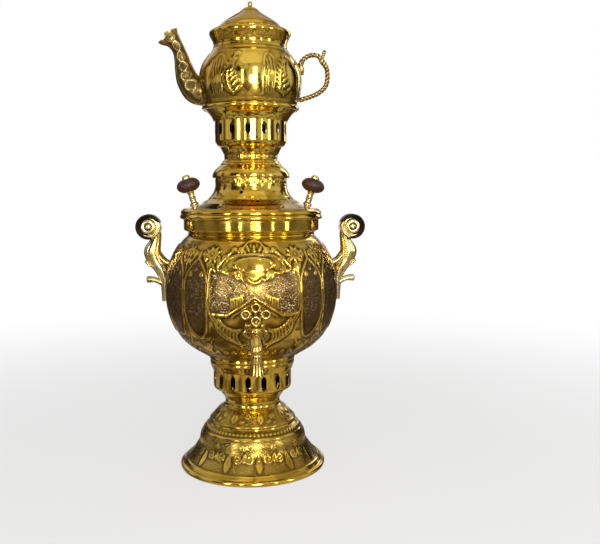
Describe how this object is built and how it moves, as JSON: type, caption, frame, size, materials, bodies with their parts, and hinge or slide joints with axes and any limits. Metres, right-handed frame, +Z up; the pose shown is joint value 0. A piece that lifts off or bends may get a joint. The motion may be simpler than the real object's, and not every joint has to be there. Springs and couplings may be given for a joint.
{
  "type": "samovar with teapot",
  "caption": "Urn-shaped brass samovar on a bell foot, with a plug tap, scroll handles, a lift-off lid round its chimney, a pierced crown and a teapot on top",
  "frame": {"origin": "centre of the base rectangle, on the surface that the foot stands on; the axis of the urn stands 26.5 mm behind it, because the tap reaches forward", "axes": "+Z up along the urn, -Y out through the tap, +X to the right as seen from the front"},
  "size_m": [0.272, 0.2586, 0.5512],
  "materials": {
    "spun_brass": "polished and chased",
    "cast_brass": "cast, polished on the high parts",
    "tube_steel": "tinned and heat-stained",
    "grate_iron": "rough",
    "knob_wood": "turned and varnished",
    "washer_rubber": "matt"
  },
  "bodies": {
    "samovar_body": {"foot": "spun_brass", "air_gallery": "spun_brass", "collar": "spun_brass", "tank": "spun_brass", "neck_ring": "spun_brass", "fire_tube": "tube_steel", "fire_grate": "grate_iron", "handle_right": "cast_brass", "handle_left": "cast_brass", "handle_washer_right_upper": "washer_rubber", "handle_washer_left_upper": "washer_rubber", "handle_nut_right_upper": "cast_brass", "handle_nut_left_upper": "cast_brass", "handle_washer_right_lower": "washer_rubber", "handle_washer_left_lower": "washer_rubber", "handle_nut_right_lower": "cast_brass", "handle_nut_left_lower": "cast_brass", "tap_rosette": "cast_brass", "tap_body": "cast_brass", "tap_gasket": "washer_rubber", "tap_shank_nut": "cast_brass"},
    "tap_plug": {"tap_key": "cast_brass", "tap_plug_washer": "cast_brass", "tap_plug_nut": "cast_brass"},
    "lid": {"lid": "spun_brass", "knob_stem_right": "cast_brass", "knob_right": "knob_wood", "knob_cap_right": "cast_brass", "knob_nut_right": "cast_brass", "knob_stem_left": "cast_brass", "knob_left": "knob_wood", "knob_cap_left": "cast_brass", "knob_nut_left": "cast_brass"},
    "crown": {"crown_base": "spun_brass", "crown_gallery": "spun_brass"},
    "teapot": {"teapot_foot": "spun_brass", "teapot_body": "spun_brass", "teapot_ring": "spun_brass", "teapot_spout": "cast_brass", "teapot_handle": "cast_brass", "teapot_rivet_upper": "cast_brass", "teapot_rivet_lower": "cast_brass"},
    "teapot_lid": {"teapot_lid": "spun_brass", "teapot_lid_collar": "spun_brass", "teapot_finial": "cast_brass", "teapot_finial_nut": "cast_brass"}
  },
  "joints": [
    {"name": "tap_turn", "type": "hinge", "parent": "samovar_body", "child": "tap_plug", "pos_m": [0, -0.1035, 0.178], "axis": [0, 0, 1], "continuous": true},
    {"name": "lid_lift", "type": "slide", "parent": "samovar_body", "child": "lid", "axis": [0, 0, 1], "range_m": [0, 0.085]},
    {"name": "crown_lift", "type": "slide", "parent": "lid", "child": "crown", "axis": [0, 0, 1], "range_m": [0, 0.04]},
    {"name": "teapot_lift", "type": "slide", "parent": "crown", "child": "teapot", "axis": [0, 0, 1], "range_m": [0, 0.025]},
    {"name": "teapot_lid_lift", "type": "slide", "parent": "teapot", "child": "teapot_lid", "axis": [0, 0, 1], "range_m": [0, 0.025]}
  ]
}
